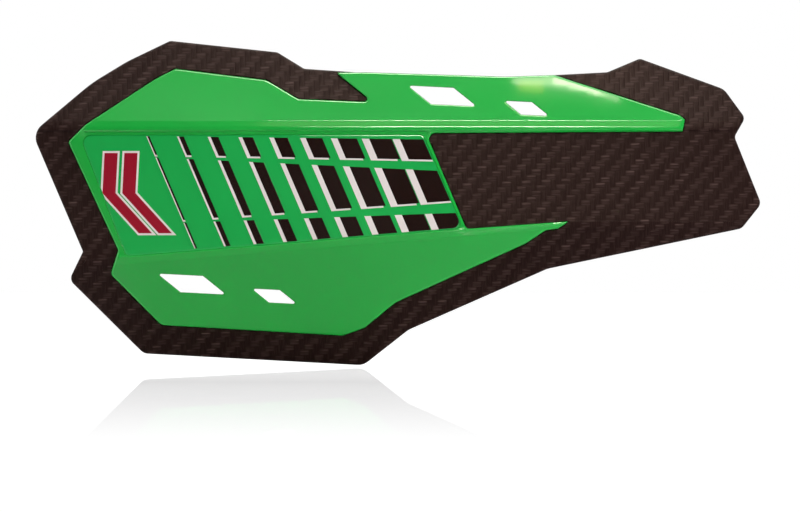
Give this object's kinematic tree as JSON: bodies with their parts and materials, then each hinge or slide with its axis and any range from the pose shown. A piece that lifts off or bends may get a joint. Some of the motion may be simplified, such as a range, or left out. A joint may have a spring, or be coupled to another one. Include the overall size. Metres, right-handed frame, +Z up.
{
  "type": "motorcycle hand guard",
  "caption": "Folded wing-shaped shield in front of a handlebar grip, with a gloss cover, a printed panel, air vents and an arm with a split bar clamp.",
  "frame": {"origin": "middle of the handlebar bore, on its axis", "axes": "+X along the handlebar towards the motorcycle's middle, -Y forwards towards the shield, +Z up"},
  "size_m": [0.2616, 0.114, 0.1172],
  "materials": {
    "shell_plastic": "black moulded nylon with a fine woven-look grain",
    "cover_plastic": "gloss green moulded plastic",
    "film_green": "gloss green printed film",
    "ink_black": "gloss black print",
    "ink_white": "gloss off-white print",
    "ink_red": "gloss red print",
    "screw_steel": "zinc plated steel",
    "insert_brass": "turned brass",
    "arm_plastic": "black glass-filled nylon",
    "plated_steel": "zinc plated steel",
    "bolt_steel": "plated steel",
    "sleeve_rubber": "soft black rubber"
  },
  "bodies": {
    "root": {"base_shell": "shell_plastic", "front_cover": "cover_plastic", "sticker_film": "film_green", "sticker_black_print": "ink_black", "sticker_white_print": "ink_white", "sticker_red_print": "ink_red", "cover_screws": "screw_steel", "mount_inserts": "insert_brass", "mounting_arm": "arm_plastic", "arm_sleeves": "plated_steel", "arm_washers": "plated_steel", "arm_bolts": "bolt_steel", "bar_sleeve": "sleeve_rubber", "clamp_cap": "arm_plastic", "clamp_washers": "plated_steel", "clamp_bolts": "bolt_steel", "clamp_nuts": "plated_steel"}
  },
  "joints": []
}
